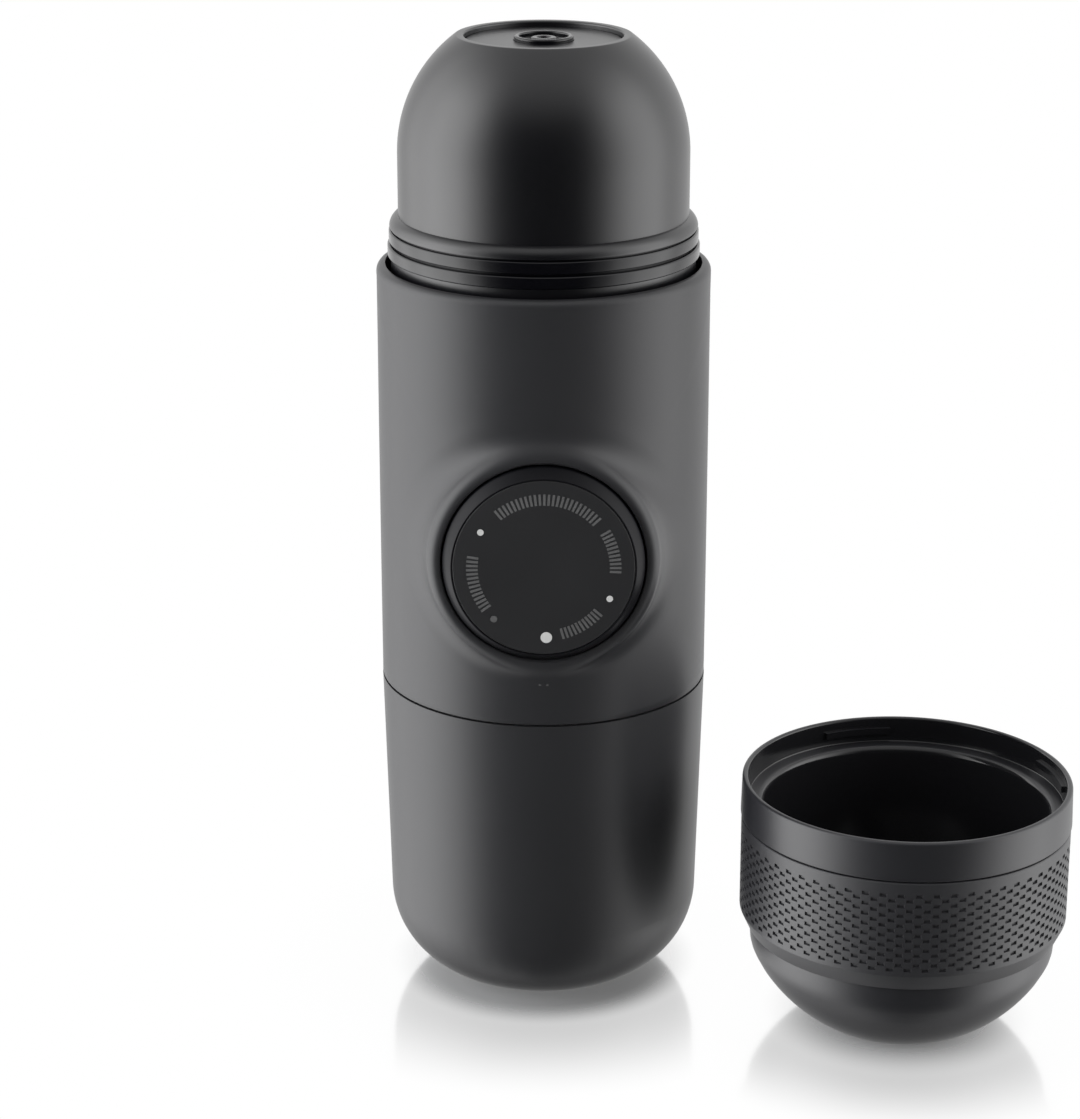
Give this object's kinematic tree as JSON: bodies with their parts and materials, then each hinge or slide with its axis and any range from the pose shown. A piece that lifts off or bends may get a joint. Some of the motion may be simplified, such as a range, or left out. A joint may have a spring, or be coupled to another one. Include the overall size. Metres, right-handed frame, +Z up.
{
  "type": "handheld manual espresso maker",
  "caption": "Slim upright hand-pumped espresso maker with a domed outlet head, a side piston knob, a screw-on round-bottomed water tank and a separate cup with a grip sleeve.",
  "frame": {"origin": "centre of the water tank's flat foot, which the maker stands on", "axes": "+Z up along the maker's axis to the outlet head, -Y out through the piston knob, +X towards the cup"},
  "size_m": [0.125, 0.0832, 0.1764],
  "materials": {
    "casing": "satin charcoal with a faint metallic sheen",
    "cup_plastic": "satin charcoal outside, gloss black inside",
    "grip_rubber": "matt, small raised points in staggered rows",
    "gloss_black": "gloss black",
    "knob_face": "fine matt black with pale printed marks",
    "inner_plastic": "moulded black",
    "silicone": "translucent pale silicone",
    "steel": "stainless, fine brushed"
  },
  "bodies": {
    "main_body": {"body_shell": "casing", "base_bulkhead": "inner_plastic", "bulkhead_screws": "steel", "pump_chassis": "inner_plastic", "neck_screws": "steel", "valve_block": "inner_plastic", "valve_block_screws": "steel", "valve_block_gasket": "silicone", "inlet_valve": "silicone", "outlet_valve": "silicone", "inlet_duct": "inner_plastic", "outlet_duct": "inner_plastic", "inlet_strainer": "steel", "air_vent_valve": "silicone", "pump_cylinder": "inner_plastic", "knob_guide": "inner_plastic", "return_spring": "steel", "brew_neck": "inner_plastic", "shower_gasket": "silicone", "shower_screen": "steel"},
    "piston": {"piston_rod": "inner_plastic", "piston_seal": "silicone", "knob_clip": "steel"},
    "knob": {"knob_cap": "gloss_black", "knob_face": "knob_face"},
    "tank_lift": {"tank_seal": "silicone"},
    "tank": {"water_tank": "casing"},
    "basket_group": {"head_gasket": "silicone", "filter_basket": "steel"},
    "head": {"outlet_head": "casing", "outlet_funnel": "inner_plastic", "outlet_disc": "casing", "outlet_nozzle": "gloss_black"},
    "cup": {"cup_body": "cup_plastic", "cup_grip_sleeve": "grip_rubber"}
  },
  "joints": [
    {"name": "piston_stroke", "type": "slide", "parent": "main_body", "child": "piston", "axis": [0, -1, 0], "range_m": [0, 0.012], "deforming": ["return_spring"]},
    {"name": "knob_turn", "type": "hinge", "parent": "piston", "child": "knob", "pos_m": [0, 0, 0.0899], "axis": [0, -1, 0], "range_deg": [0, 43]},
    {"name": "tank_drop", "type": "slide", "parent": "main_body", "child": "tank_lift", "axis": [0, 0, -1], "range_m": [0, 0.009]},
    {"name": "tank_turn", "type": "hinge", "parent": "tank_lift", "child": "tank", "pos_m": [0, 0, 0], "axis": [0, 0, -1], "range_deg": [0, 540]},
    {"name": "head_rise", "type": "slide", "parent": "main_body", "child": "basket_group", "axis": [0, 0, 1], "range_m": [0, 0.012]},
    {"name": "head_turn", "type": "hinge", "parent": "basket_group", "child": "head", "pos_m": [0, 0, 0.15], "axis": [0, 0, 1], "range_deg": [0, 720]},
    {"name": "cup_lift", "type": "slide", "parent": "main_body", "child": "cup", "axis": [0, 0, 1], "range_m": [0, 0.15]}
  ],
  "couplings": [
    {"joint": "tank_turn", "follows": "tank_drop", "rad_per_m": 1047.2},
    {"joint": "head_turn", "follows": "head_rise", "rad_per_m": 1047.2}
  ]
}
